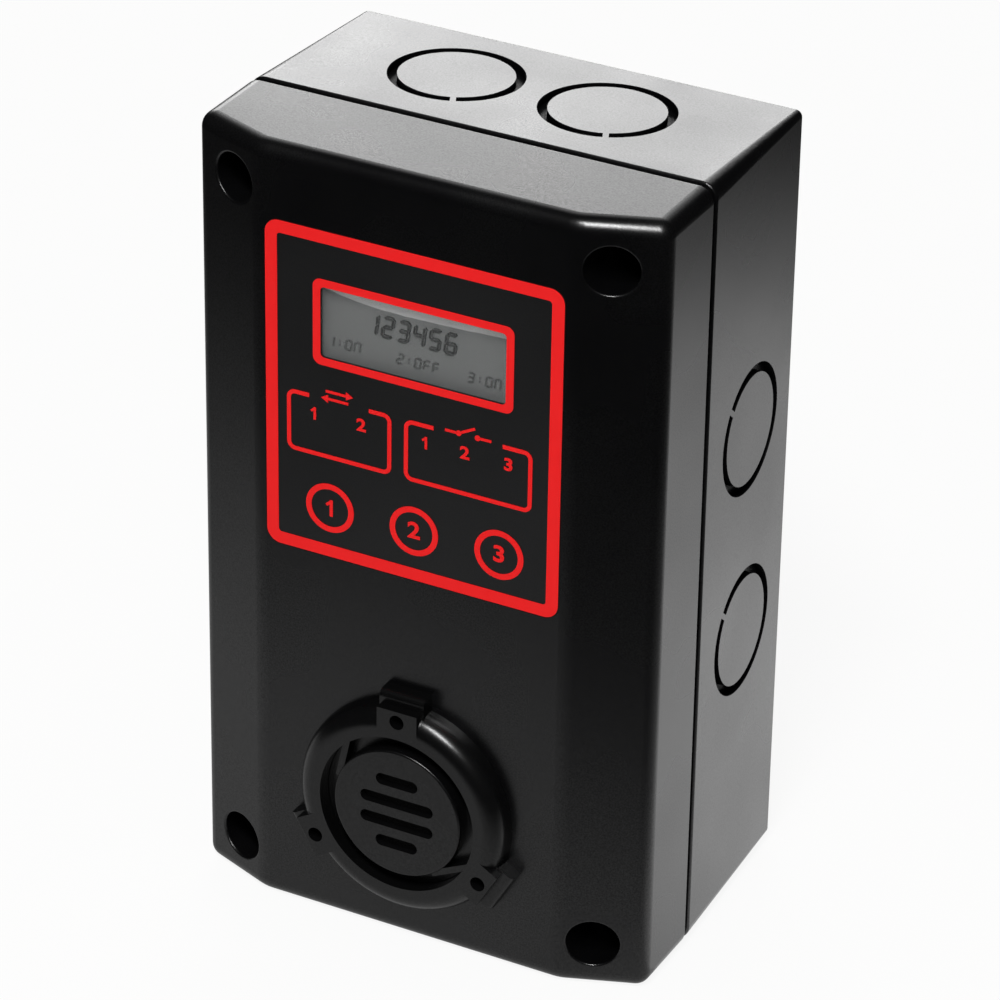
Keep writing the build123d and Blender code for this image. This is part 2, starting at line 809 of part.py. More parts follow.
def make_sensor_cap():
    """Slotted disc on a flange, with two slanting ribs across the dark channel round it."""
    flange = channel_outer_radius - fitting_gap
    cap = revolved([(cap_hollow, cap_flange_back), (flange, cap_flange_back), (flange, cap_flange_front),
                    (cap_disc_radius, cap_flange_front), (cap_disc_radius, cap_front), (0, cap_front),
                    (0, filter_front), (cap_hollow, filter_front)])
    rim = [e for e in edges_at_depth(cap, cap_front) if e.radius > cap_hollow]
    cap = fillet(rim, cap_disc_round)
    for angle, turn in zip(cap_rib_angles, cap_rib_turns):
        middle = (cap_disc_radius + flange) / 2
        bar = Pos(middle, 0) * Rot(0, 0, turn) * Rectangle(2 * flange, cap_rib_width)
        rib = raised(Rot(0, 0, angle) * bar, cap_flange_back, boss_front - cap_rib_setback, 0, boss_z)
        near = raised(Rot(0, 0, angle) * Pos(middle, 0) * Circle(cap_rib_reach), cap_flange_back, boss_front,
                      0, boss_z)
        channel = tube(flange, cap_disc_radius - cap_wall / 2, cap_flange_back, boss_front, 0, boss_z)
        cap += rib & near & channel
    for step, length in ((-1.5, short_slot), (-0.5, long_slot), (0.5, long_slot), (1.5, short_slot)):
        slot = SlotOverall(length, slot_width)
        cap -= raised(slot, filter_front - overrun, cap_front + overrun, 0, boss_z + step * slot_pitch)
    return cap


def make_dust_filter():
    return rod(cap_hollow - fitting_gap, filter_back, filter_front, 0, boss_z)


def make_cell_seal():
    return tube(cap_hollow - fitting_gap, cell_radius + sliding_gap, cap_flange_back, filter_back, 0, boss_z)


def make_sensor_cell():
    cell = rod(cell_radius, cell_back, cell_front, 0, boss_z)
    cell -= rod(cell_radius - cell_rim, cell_front - cell_rim_depth, cell_front + overrun, 0, boss_z)
    for angle in cell_pin_angles:
        x, z = on_circle(cell_pin_circle, angle, boss_z)
        cell += rod(cell_pin_diameter / 2, cell_back - cell_pin_length, cell_back, x, z)
    return cell


def make_cell_sockets():
    sockets = []
    for angle in cell_pin_angles:
        x, z = on_circle(cell_pin_circle, angle, boss_z)
        sockets.append(tube(socket_diameter / 2, cell_pin_diameter / 2 + sliding_gap, sensor_board_front,
                            cell_back - fitting_gap, x, z))
    return joined(sockets)


def make_housing_nut():
    flat_radius = neck_radius + nut_wall
    corner_reach = flat_radius / cos(pi / 6)
    nut_back = panel_inside - nut_height
    nut = raised(RegularPolygon(flat_radius, 6, major_radius=False), nut_back, panel_inside, 0, boss_z)
    nut &= rod(corner_reach * nut_chamfer_share, nut_back, panel_inside, 0, boss_z)
    return nut - rod(neck_radius + sliding_gap, nut_back - overrun, panel_inside + overrun, 0, boss_z)


def make_housing_seal():
    outer = seal_inner_radius + seal_width / 2 - fitting_gap
    return tube(outer, seal_inner_radius, body_depth, body_depth + seal_thickness, 0, boss_z)


def make_sensor_board():
    height = sensor_board_top - sensor_board_low
    middle = (sensor_board_top + sensor_board_low) / 2
    outline = Rectangle(2 * sensor_board_half_width, height)
    board = raised(outline, sensor_board_back, sensor_board_front, 0, middle)
    for side in (-1, 1):
        hole = sensor_screw_diameter / 2 + fitting_gap
        board -= rod(hole, sensor_board_back - overrun, sensor_board_front + overrun,
                     side * sensor_screw_radius, boss_z)
    return board


def make_sensor_board_screws():
    length = sensor_screw_length + board_thickness - screw_tip_gap
    return joined(board_screw(sensor_board_back, -1, side * sensor_screw_radius, boss_z,
                              sensor_screw_diameter, length) for side in (-1, 1))


def make_link_header():
    return raised(Rectangle(link_width, link_thickness), sensor_board_front, board_back, 0, link_z)


# Main board

def make_main_board():
    board = raised(Rectangle(main_board_width, main_board_height), main_board_back, main_board_front)
    for x, z in at_corners(standoff_half_x, standoff_half_z):
        board -= rod(board_screw_diameter / 2 + fitting_gap, main_board_back - overrun,
                     main_board_front + overrun, x, z)
    return board


def make_main_board_screws():
    places = at_corners(standoff_half_x, standoff_half_z)
    return joined(board_screw(main_board_front, 1, x, z) for x, z in places)


def make_relay(x):
    front = main_board_front + relay_depth
    return box_part(relay_width, relay_height_z, main_board_front, front, x, relay_z)


def terminal_screw_places(ways, x):
    first = x - terminal_pitch * (ways - 1) / 2
    return [first + terminal_pitch * way for way in range(ways)]


def terminal_screw_z(z, outward):
    return z - outward * terminal_ledge / 2


def make_terminal(ways, x, z, outward):
    """Rising-clamp terminal block whose wire mouths face the board's edge."""
    low = main_board_front
    width = ways * terminal_pitch
    block = raised(Rectangle(width, terminal_depth_z), low, low + terminal_rise, x, z)
    ledge = Rectangle(width + overrun, terminal_ledge + overrun)
    ledge_z = z + outward * (terminal_depth_z / 2 - terminal_ledge / 2 + overrun / 2)
    block -= raised(ledge, low + terminal_ledge_rise, low + terminal_rise + overrun, x, ledge_z)
    for place in terminal_screw_places(ways, x):
        mouth = Rectangle(wire_mouth_width, wire_mouth_depth + overrun)
        mouth_z = z + outward * (terminal_depth_z / 2 - wire_mouth_depth / 2 + overrun / 2)
        mouth_low = low + wire_mouth_lift
        block -= raised(mouth, mouth_low, mouth_low + wire_mouth_height, place, mouth_z)
        block -= rod(terminal_screw_diameter / 2 + fitting_gap, low + terminal_rise - terminal_screw_depth,
                     low + terminal_rise + overrun, place, terminal_screw_z(z, outward))
    return block


def make_terminal_screws(blocks):
    screws = []
    for ways, x, z, outward in blocks:
        for place in terminal_screw_places(ways, x):
            high = main_board_front + terminal_rise - terminal_screw_sink
            low = main_board_front + terminal_rise - terminal_screw_depth
            centre_z = terminal_screw_z(z, outward)
            screw = rod(terminal_screw_diameter / 2, low, high, place, centre_z)
            groove = Rectangle(terminal_slot_width, terminal_screw_diameter + overrun)
            screws.append(screw - raised(groove, high - terminal_slot_depth, high + overrun, place, centre_z))
    return joined(screws)


def make_capacitor(drop):
    top = main_board_front + capacitor_height
    can = rod(capacitor_diameter / 2, main_board_front, top, supply_x, board_top - drop)
    return fillet(edges_at_depth(can, top), capacitor_round)


def make_converter():
    front = main_board_front + converter_depth
    return box_part(converter_width, converter_height_z, main_board_front, front,
                    board_right - converter_from_right, board_top - converter_drop)


def make_choke():
    high = main_board_front + choke_height
    ring = tube(choke_outer / 2, choke_inner / 2, main_board_front, high, choke_x, board_top - choke_drop)
    return fillet(edges_at_depth(ring, high), choke_round)


def make_fuse_clips():
    reach = (fuse_length - fuse_cap_length) / 2
    z = board_top - fuse_drop
    low = main_board_front
    clips = []
    for x in (supply_x - reach, supply_x + reach):
        block = raised(Rectangle(clip_length, clip_width), low, low + clip_rise, x, z)
        inside = Rectangle(clip_length + overrun, clip_width - 2 * clip_wall)
        clips.append(block - raised(inside, low + clip_wall, low + clip_rise + overrun, x, z))
    return joined(clips)


def make_glass_fuse():
    start = (supply_x - fuse_length / 2, -main_board_front - fuse_lift, board_top - fuse_drop)
    along = Plane(origin=start, x_dir=(0, 0, 1), z_dir=(1, 0, 0))
    fuse = extrude(along * Circle(fuse_glass_diameter / 2), amount=fuse_length)
    cap = Circle(fuse_diameter / 2)
    fuse += extrude(along * cap, amount=fuse_cap_length)
    fuse += extrude(along.offset(fuse_length - fuse_cap_length) * cap, amount=fuse_cap_length)
    return fuse


def make_processor():
    return raised(RectangleRounded(chip_side, chip_side, chip_round), main_board_front,
                  main_board_front + chip_height, board_left + processor_from_left, board_top - processor_drop)


def make_crystal():
    can = SlotOverall(crystal_height_z, crystal_width, rotation=90)
    return raised(can, main_board_front, main_board_front + crystal_depth,
                  board_left + crystal_from_left, board_top - processor_drop)


def make_main_header():
    low = main_board_front
    shroud = raised(Rectangle(header_width, header_height_z), low, low + header_rise, 0, main_header_z)
    pocket = Rectangle(header_width - 2 * header_wall, header_height_z - 2 * header_wall)
    return shroud - raised(pocket, low + header_floor, low + header_rise + overrun, 0, main_header_z)


def make_ribbon_plug():
    low = main_board_front + header_floor
    plug = raised(Rectangle(plug_width, plug_height_z), low, low + plug_rise, 0, main_header_z)
    lip = Rectangle(plug_width, plug_height_z - 2 * plug_lip)
    high = low + plug_rise
    return plug + raised(lip, high, high + plug_lip, 0, main_header_z)


def ribbon_points():
    """Route in the plane of Y and Z, from the display plug down to the main board's plug."""
    start = board_back - plug_rise
    end = main_board_front + header_floor + plug_rise + plug_lip
    return [(-start, display_plug_z), (-(start - ribbon_lead), display_plug_z),
            (-(end + ribbon_lead), main_header_z), (-end, main_header_z)]


def ribbon_radii(points):
    """Bend radius at each inner point, as large as its two runs allow."""
    radii = []
    for before, here, after in zip(points, points[1:], points[2:]):
        arriving = (here[0] - before[0], here[1] - before[1])
        leaving = (after[0] - here[0], after[1] - here[1])
        cross = arriving[0] * leaving[1] - arriving[1] * leaving[0]
        along = arriving[0] * leaving[0] + arriving[1] * leaving[1]
        turn = abs(atan2(cross, along))
        shorter = min(hypot(*arriving), hypot(*leaving))
        radii.append(ribbon_turn_share * shorter / tan(turn / 2))
    return radii


def make_ribbon_cable():
    points = ribbon_points()
    radii = ribbon_radii(points)
    print("ribbon bend radii", [round(radius, 1) for radius in radii])
    path = FilletPolyline(*points, radius=radii)
    strip = trace(path, ribbon_thickness)
    side = Plane(origin=(-ribbon_width / 2, 0, 0), x_dir=(0, 1, 0), z_dir=(1, 0, 0))
    return extrude(side * strip, amount=ribbon_width)


def build_nodes():
    relay_row = [(relay_terminal_ways, x, -terminal_row_z, -1) for x in relay_places]
    network = (network_terminal_ways, board_left + network_terminal_from_left, terminal_row_z, 1)
    supply = (supply_terminal_ways, supply_x, terminal_row_z, 1)
    nodes = {
        "base": make_base(),
        "cover": make_cover(),
        "seam_gasket": make_seam_gasket(),
        "cover_screws": make_cover_screws(),
        "screw_inserts": make_screw_inserts(),
        "front_overlay": make_front_overlay(),
        "overlay_print": make_overlay_print(),
        "display_window": make_display_window(),
        "display_glass": make_display_glass(),
        "display_backlight": make_display_backlight(),
        "display_board": make_display_board(),
        "display_board_screws": make_display_board_screws(),
        "display_plug": make_display_plug(),
        "display_driver": make_display_driver(),
        "sensor_housing": make_sensor_housing(),
        "sensor_cap": make_sensor_cap(),
        "dust_filter": make_dust_filter(),
        "cell_seal": make_cell_seal(),
        "sensor_cell": make_sensor_cell(),
        "cell_sockets": make_cell_sockets(),
        "housing_nut": make_housing_nut(),
        "housing_seal": make_housing_seal(),
        "sensor_board": make_sensor_board(),
        "sensor_board_screws": make_sensor_board_screws(),
        "link_header": make_link_header(),
        "main_board": make_main_board(),
        "main_board_screws": make_main_board_screws(),
        "network_terminal": make_terminal(*network),
        "supply_terminal": make_terminal(*supply),
        "terminal_screws": make_terminal_screws(relay_row + [network, supply]),
        "power_converter": make_converter(),
        "choke_coil": make_choke(),
        "fuse_clips": make_fuse_clips(),
        "glass_fuse": make_glass_fuse(),
        "processor": make_processor(),
        "crystal": make_crystal(),
        "main_header": make_main_header(),
        "ribbon_plug": make_ribbon_plug(),
        "ribbon_cable": make_ribbon_cable(),
    }
    for number, x in enumerate(key_places, start=1):
        nodes[f"key_switch_{number}"] = make_key_switch(x)
        nodes[f"key_plunger_{number}"] = make_key_plunger(x)
        nodes[f"relay_{number}"] = make_relay(relay_places[number - 1])
        nodes[f"relay_terminal_{number}"] = make_terminal(*relay_row[number - 1])
    for number, x in enumerate(led_places(), start=1):
        nodes[f"status_led_{number}"] = make_status_led(x)
    for number in (1, 2):
        drop = capacitor_first_drop + capacitor_pitch * (number - 1)
        nodes[f"storage_capacitor_{number}"] = make_capacitor(drop)
    return nodes


for name, shape in build_nodes().items():
    export_step(shape, f"parts/{name}.step")
    print(name, round(shape.volume, 1))
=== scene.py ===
# %% [markdown]
# # A carbon monoxide sensor in a black wall box
# The real object is a moulded box, about as tall as a hand is long. Its front carries a printed film with a
# small grey display and three keys, and below that a round boss lets the air of the room in to the sensing
# cell. The solids come from the frame, already in their places and in metres. This lesson gives them their
# finishes, adds the printing and the display's characters, and then sets up the lamps and the camera.

import json
from math import cos, pi, radians, sin

import bpy
from mathutils import Matrix, Vector


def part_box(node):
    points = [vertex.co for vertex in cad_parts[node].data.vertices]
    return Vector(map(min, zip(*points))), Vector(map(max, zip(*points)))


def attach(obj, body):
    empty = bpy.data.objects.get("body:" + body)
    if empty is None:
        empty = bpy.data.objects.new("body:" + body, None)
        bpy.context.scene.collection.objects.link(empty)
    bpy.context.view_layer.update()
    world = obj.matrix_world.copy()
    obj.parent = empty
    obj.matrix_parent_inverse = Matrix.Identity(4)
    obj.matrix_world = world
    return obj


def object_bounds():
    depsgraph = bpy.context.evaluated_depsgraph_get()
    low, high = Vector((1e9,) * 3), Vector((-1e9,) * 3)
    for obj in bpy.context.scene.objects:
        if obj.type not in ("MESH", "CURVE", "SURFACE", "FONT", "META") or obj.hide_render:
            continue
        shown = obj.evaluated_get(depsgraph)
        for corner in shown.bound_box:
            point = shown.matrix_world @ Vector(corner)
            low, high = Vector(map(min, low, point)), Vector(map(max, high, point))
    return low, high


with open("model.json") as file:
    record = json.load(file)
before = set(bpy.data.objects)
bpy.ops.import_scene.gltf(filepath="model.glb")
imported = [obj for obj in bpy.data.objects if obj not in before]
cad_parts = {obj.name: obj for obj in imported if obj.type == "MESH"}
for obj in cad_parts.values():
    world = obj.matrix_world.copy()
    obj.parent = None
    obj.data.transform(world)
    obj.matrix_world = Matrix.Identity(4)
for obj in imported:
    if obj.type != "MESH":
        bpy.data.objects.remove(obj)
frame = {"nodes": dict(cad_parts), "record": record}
solid_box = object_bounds()
nodes = frame["nodes"]
MM = 0.001
print(len(nodes), "solids, box", [round(v / MM, 1) for corner in solid_box for v in corner], "mm")

# %% [markdown]
# ## Colours
# A colour picked from a screen is in sRGB, and a shader wants linear light. One function turns the one into
# the other, so that every finish below can be written as the hex value that a painter would note down.

# %% Turn hex colours to linear ones
def linear(hex_code):
    """An sRGB colour such as "#1c1c1e" as the four linear values that a shader takes."""
    channels = [int(hex_code[i:i + 2], 16) / 255 for i in (1, 3, 5)]
    return [c / 12.92 if c <= 0.04045 else ((c + 0.055) / 1.055) ** 2.4 for c in channels] + [1.0]


print("mid grey", [round(c, 3) for c in linear("#808080")])

# %% [markdown]
# ## A way to build finishes
# Every finish here is a small tree of nodes: a pattern on the piece's own coordinates drives the colour,
# the roughness and a bump. One function adds a node, sets its values and links its inputs. Coordinates are
# in metres, so a pattern whose real grains are w millimetres apart has a scale of 1000 / w. Two more
# functions let a pattern lead from one colour to another and from one value to another, because nearly
# every surface wanders a little between two tones and two degrees of gloss.

# %% Start a finish and add nodes to it
def add(tree, kind, links=None, **settings):
    """Adds a node. Settings that name an input set its value, others set the node, and links join inputs."""
    node = tree.nodes.new(kind)
    for name, value in settings.items():
        label = name.replace("_", " ")
        found = [s for s in node.inputs if s.name.lower() == label.lower()]
        if found:
            found[0].default_value = value
        else:
            setattr(node, name, value)
    for name, source in (links or {}).items():
        tree.links.new(source, node.inputs[name])
    return node


def per_mm(width):
    """The pattern scale that puts one grain in each width, given in millimetres."""
    return 1.0 / (width * MM)


def new_finish(name):
    """An empty finish with its output and the piece's own coordinates."""
    finish = bpy.data.materials.new(name)
    finish.use_nodes = True
    tree = finish.node_tree
    tree.nodes.clear()
    output = add(tree, "ShaderNodeOutputMaterial")
    place = add(tree, "ShaderNodeTexCoord").outputs["Object"]
    return finish, tree, output, place


def two_tone(tree, share, first, second):
    """A colour that goes from the first hex value to the second as the share goes from 0 to 1."""
    tone = add(tree, "ShaderNodeMix", {"Factor": share}, data_type="RGBA")
    tone.inputs["A"].default_value = linear(first)
    tone.inputs["B"].default_value = linear(second)
    return tone.outputs["Result"]


def spread(tree, noise, low, high):
    """Maps a noise, which seldom leaves the span from 0.3 to 0.7, onto the values from low to high."""
    mapped = add(tree, "ShaderNodeMapRange", {"Value": noise.outputs["Fac"]}, from_min=0.3, from_max=0.7,
                 to_min=low, to_max=high)
    return mapped.outputs["Result"]


print("a 0.3 mm grain has scale", round(per_mm(0.3)))

# %% [markdown]
# ## Moulded ABS
# The box is injection moulded in black ABS. The steel mould was spark eroded or blasted, and its fine matt
# grain, about a third of a millimetre from crest to crest, is copied onto every outer face. It breaks a
# reflection into a satin glow. A broader, weaker pattern stands for the slight waviness of a moulded wall
# and the film of dust and handling on it. The grain is drawn through a bump node, because it is far too
# fine to model, and it also makes the gloss a little uneven. In narrow grooves the gloss is taken away,
# which
# is painted shade: an occlusion node tells how much of the sky within a few millimetres the piece itself
# hides, and the gloss falls with it, so the grooves read dark as if little light got in and out.

# %% Make the moulded plastics
cloud_mm = 38.0
handled = 0.04
dusty = 0.05


def grained_plastic(name, dark, light, grain_mm, grain_depth_mm, roughness, gloss=0.5, ior=1.53,
                    hollow_mm=0.0, speckle=0.1):
    """Moulded plastic with an eroded grain: noise for the grain, and a wide noise for sheen and tone."""
    finish, tree, output, place = new_finish(name)
    grain = add(tree, "ShaderNodeTexNoise", {"Vector": place}, scale=per_mm(grain_mm), detail=3.0)
    cloud = add(tree, "ShaderNodeTexNoise", {"Vector": place}, scale=per_mm(cloud_mm), detail=2.0,
                roughness=0.5)
    tone = two_tone(tree, cloud.outputs["Fac"], dark, light)
    sheen = spread(tree, cloud, roughness - handled, roughness + dusty)
    wave = add(tree, "ShaderNodeBump", {"Height": cloud.outputs["Fac"]}, strength=0.12, distance=0.05 * MM)
    bump = add(tree, "ShaderNodeBump", {"Height": grain.outputs["Fac"], "Normal": wave.outputs["Normal"]},
               strength=0.6, distance=grain_depth_mm * MM)
    level = spread(tree, grain, gloss * (1 - speckle), gloss * (1 + speckle))
    # Painted shade: in grooves and hollows the occlusion node takes the gloss away, so they read dark.
    if hollow_mm:
        sky = add(tree, "ShaderNodeAmbientOcclusion", samples=4, only_local=True, distance=hollow_mm * MM)
        unshaded_gloss_share = add(tree, "ShaderNodeMapRange", {"Value": sky.outputs["AO"]}, from_min=0.7,
                         from_max=0.95)
        level = add(tree, "ShaderNodeMath", {0: level, 1: unshaded_gloss_share.outputs["Result"]},
                    operation="MULTIPLY").outputs["Value"]
    shader = add(tree, "ShaderNodeBsdfPrincipled", {"Base Color": tone, "Roughness": sheen,
                 "Normal": bump.outputs["Normal"], "Specular IOR Level": level}, ior=ior)
    tree.links.new(shader.outputs["BSDF"], output.inputs["Surface"])
    return finish


# The box's plastic takes the painted shade in its grooves, over a reach of 2.4 mm.
abs_black = grained_plastic("moulded_black_abs", "#050506", "#0a0a0b", 0.34, 0.012, 0.28, gloss=0.55,
                            hollow_mm=2.4, speckle=0.3)
abs_boss = grained_plastic("turned_black_abs", "#060606", "#0c0c0d", 0.4, 0.008, 0.25, gloss=0.45,
                           speckle=0.2)
acetal_black = grained_plastic("black_acetal", "#101011", "#18181a", 0.5, 0.004, 0.4, ior=1.48)
pale_moulding = grained_plastic("pale_cell_moulding", "#c9c8c0", "#d6d5ce", 0.6, 0.004, 0.45)
white_guide = grained_plastic("white_light_guide", "#dededa", "#ecece8", 1.2, 0.003, 0.3)
black_epoxy = grained_plastic("black_epoxy_moulding", "#161616", "#202021", 0.25, 0.004, 0.5)
relay_blue = grained_plastic("blue_relay_case", "#123a8c", "#1a4699", 0.8, 0.003, 0.28)
terminal_green = grained_plastic("green_polyamide", "#1c7a3c", "#258745", 0.7, 0.003, 0.35)
sleeve = grained_plastic("dark_shrink_sleeve", "#16161f", "#20202b", 1.5, 0.003, 0.22)
ribbon_grey = grained_plastic("grey_vinyl_ribbon", "#8d8d90", "#9c9c9f", 1.27, 0.01, 0.5)
rubber = grained_plastic("black_silicone_rubber", "#060606", "#0b0b0b", 0.6, 0.006, 0.6, gloss=0.35,
                         ior=1.43)
print("plastics:", abs_black.name, abs_boss.name, acetal_black.name, pale_moulding.name, white_guide.name,
      black_epoxy.name, relay_blue.name, terminal_green.name, sleeve.name, ribbon_grey.name, rubber.name)

# %% [markdown]
# ## The film and its ink
# The front label is a polyester film with a fine embossed texture, screen printed from behind in dark grey
# and in red. The film is a little lighter and flatter than the box, and its ink has a faint mesh left by
# the screen, about a tenth of a millimetre in reality and drawn at a quarter of one so that it can be seen.

# %% Make the film and the ink
film = grained_plastic("matt_polyester_film", "#101011", "#171718", 0.22, 0.004, 0.42, gloss=0.4, ior=1.6)


def screen_ink(name, hex_code, roughness, gloss=0.4):
    """Screen printed ink: a fine mesh in its height, and patches where it lies a little thicker."""
    finish, tree, output, place = new_finish(name)
    patch = add(tree, "ShaderNodeTexNoise", {"Vector": place}, scale=per_mm(6.0), detail=3.0)
    mesh = add(tree, "ShaderNodeTexVoronoi", {"Vector": place}, scale=per_mm(0.25), randomness=0.15)
    tone = add(tree, "ShaderNodeHueSaturation", {"Fac": patch.outputs["Fac"]}, value=0.93)
    tone.inputs["Color"].default_value = linear(hex_code)
    bump = add(tree, "ShaderNodeBump", {"Height": mesh.outputs["Distance"]}, strength=0.3,
               distance=0.004 * MM)
    shader = add(tree, "ShaderNodeBsdfPrincipled", {"Base Color": tone.outputs["Color"],
                 "Normal": bump.outputs["Normal"]}, roughness=roughness, ior=1.5, specular_ior_level=gloss)
    tree.links.new(shader.outputs["BSDF"], output.inputs["Surface"])
    return finish


red_ink = screen_ink("red_screen_ink", "#ee0d10", 0.45, gloss=0.25)
print("film and ink:", film.name, red_ink.name)

# %% [markdown]
# ## The display
# A liquid crystal cell is two sheets of glass with a reflector behind them, so it looks like grey paper
# under a thin gloss. Where the crystal is driven it turns dark. Along its upper edge a lighter band is a
# painted highlight, standing for the light from above that the frame round it doesn't shade. A clear pane
# lies over it.
#
# The painted highlight band is measured down from the display's upper edge. A curve node gives its width
# from left to right, as a share of ten millimetres, and a slow noise lets its lower edge drift by up to one.

# %% Make the display's finishes
display_low, display_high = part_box("display_window")
band_unit_mm = 10
band_drift_mm = 1.0
band_edge_mm = (0.35, 0.65)
wiped = 0.08


def liquid_crystal(name, hex_code, painted_highlight_hex, widths_mm):
    """Grey cell with a faint grid and a painted highlight band of changing width under its upper edge."""
    finish, tree, output, place = new_finish(name)
    split = add(tree, "ShaderNodeSeparateXYZ", {"Vector": place})
    drift = add(tree, "ShaderNodeTexNoise", {"Vector": place}, scale=per_mm(9.0), detail=2.0)
    moved = add(tree, "ShaderNodeMath", {0: drift.outputs["Fac"], 2: split.outputs["Z"]},
                operation="MULTIPLY_ADD")
    moved.inputs[1].default_value = band_drift_mm * MM
    across = add(tree, "ShaderNodeMapRange", {"Value": split.outputs["X"]}, from_min=display_low.x,
                 from_max=display_high.x)
    width = add(tree, "ShaderNodeFloatCurve", {"Value": across.outputs["Result"]})
    points = width.mapping.curves[0].points
    while len(points) < len(widths_mm):
        points.new(0.5, 0.5)
    for index, millimetres in enumerate(widths_mm):
        points[index].location = (index / (len(widths_mm) - 1), millimetres / band_unit_mm)
    width.mapping.update()
    edge = add(tree, "ShaderNodeMath", {0: width.outputs["Value"], 2: moved.outputs["Value"]},
               operation="MULTIPLY_ADD")
    edge.inputs[1].default_value = band_unit_mm * MM
    soft_start, soft_end = (display_high.z + millimetres * MM for millimetres in band_edge_mm)
    band = add(tree, "ShaderNodeMapRange", {"Value": edge.outputs["Value"]}, from_min=soft_start,
               from_max=soft_end)
    # Painted highlight: inside the band along the upper edge, the cell takes the lighter colour.
    tone = two_tone(tree, band.outputs["Result"], hex_code, painted_highlight_hex)
    grid = add(tree, "ShaderNodeTexVoronoi", {"Vector": place}, scale=per_mm(0.5), randomness=0.0)
    bump = add(tree, "ShaderNodeBump", {"Height": grid.outputs["Distance"]}, strength=0.1,
               distance=0.01 * MM)
    shader = add(tree, "ShaderNodeBsdfPrincipled", {"Base Color": tone, "Normal": bump.outputs["Normal"]},
                 roughness=0.3, ior=1.52, specular_ior_level=0.3)
    tree.links.new(shader.outputs["BSDF"], output.inputs["Surface"])
    return finish


def clear_pane(name, roughness, share):
    """Clear plastic: mostly let through, with a weak gloss and a few fine wipe marks."""
    finish, tree, output, place = new_finish(name)
    wipe = add(tree, "ShaderNodeTexNoise", {"Vector": place}, scale=per_mm(3.0), detail=5.0, distortion=1.5)
    rough = spread(tree, wipe, roughness, roughness + wiped)
    shader = add(tree, "ShaderNodeBsdfPrincipled", {"Roughness": rough}, ior=1.58, alpha=share,
                 base_color=linear("#e8ecec"))
    tree.links.new(shader.outputs["BSDF"], output.inputs["Surface"])
    return finish


# The second colour, #b2b2b2, is the painted highlight along the display's upper edge.
crystal_grey = liquid_crystal("grey_liquid_crystal", "#545555", "#b2b2b2", (2.4, 4.0, 4.4, 4.3, 4.0, 3.6))
pane = clear_pane("clear_polycarbonate", 0.08, 0.05)
fuse_glass = clear_pane("fuse_tube_glass", 0.03, 0.35)
digit_dark = screen_ink("driven_crystal", "#1b1c1c", 0.4)
print("display:", crystal_grey.name, pane.name, digit_dark.name)

# %% [markdown]
# ## Metals, felt and boards
# Inside, the box holds what any such instrument holds: zinc plated screws, turned brass, a felt dust
# filter, and green glass-epoxy boards whose copper tracks show faintly under the solder mask.

# %% Make the metals, the felt and the boards
burnished = 0.05
scratched = 0.1


def turned_metal(name, hex_code, roughness, groove_mm):
    """Bright metal with fine turning marks."""
    finish, tree, output, place = new_finish(name)
    marks = add(tree, "ShaderNodeTexNoise", {"Vector": place}, scale=per_mm(groove_mm), detail=2.0)
    rough = spread(tree, marks, roughness - burnished, roughness + scratched)
    bump = add(tree, "ShaderNodeBump", {"Height": marks.outputs["Fac"]}, strength=0.2, distance=0.01 * MM)
    shader = add(tree, "ShaderNodeBsdfPrincipled", {"Roughness": rough, "Normal": bump.outputs["Normal"]},
                 metallic=1.0, base_color=linear(hex_code))
    tree.links.new(shader.outputs["BSDF"], output.inputs["Surface"])
    return finish


def fibrous(name, dark, light, fibre_mm):
    """Pressed fibres, soft and without gloss."""
    finish, tree, output, place = new_finish(name)
    fibre = add(tree, "ShaderNodeTexNoise", {"Vector": place}, scale=per_mm(fibre_mm), detail=6.0,
                distortion=2.0)
    tone = two_tone(tree, fibre.outputs["Fac"], dark, light)
    bump = add(tree, "ShaderNodeBump", {"Height": fibre.outputs["Fac"]}, strength=0.7, distance=0.1 * MM)
    shader = add(tree, "ShaderNodeBsdfPrincipled", {"Base Color": tone, "Normal": bump.outputs["Normal"]},
                 roughness=0.95, specular_ior_level=0.1)
    tree.links.new(shader.outputs["BSDF"], output.inputs["Surface"])
    return finish


def masked_board(name, mask, track):
    """Green mask over copper: blocks of copper show lighter than the bare laminate."""
    finish, tree, output, place = new_finish(name)
    block = add(tree, "ShaderNodeTexBrick", {"Vector": place}, scale=per_mm(9.0), mortar_size=0.05)
    block.inputs["Color1"].default_value = linear(track)
    block.inputs["Color2"].default_value = linear(mask)
    block.inputs["Mortar"].default_value = linear(mask)
    bump = add(tree, "ShaderNodeBump", {"Height": block.outputs["Fac"]}, strength=0.4, distance=0.03 * MM)
    shader = add(tree, "ShaderNodeBsdfPrincipled", {"Base Color": block.outputs["Color"],
                 "Normal": bump.outputs["Normal"]}, roughness=0.3, ior=1.55)
    tree.links.new(shader.outputs["BSDF"], output.inputs["Surface"])
    return finish


zinc = turned_metal("zinc_plated_steel", "#8f9194", 0.32, 0.3)
brass = turned_metal("turned_brass", "#c79a4a", 0.28, 0.25)
copper_coil = turned_metal("enamelled_copper_wire", "#8a3f1d", 0.35, 0.6)
felt = fibrous("dark_filter_felt", "#0a0a0a", "#161616", 0.4)
board_green = masked_board("green_solder_mask", "#0d4a26", "#16613a")
lens_red = grained_plastic("diffused_red_epoxy", "#5a0b0a", "#6e0f0d", 0.8, 0.002, 0.3)
print("inside finishes:", zinc.name, brass.name, copper_coil.name, felt.name, board_green.name,
      lens_red.name)

# %% [markdown]
# ## Dress the solids
# Each solid carries the slot of the material it was drawn with. A table from slot to finish dresses them
# all at once, and the boss gets the smoother of the two black plastics, because its mould was turned and
# polished.

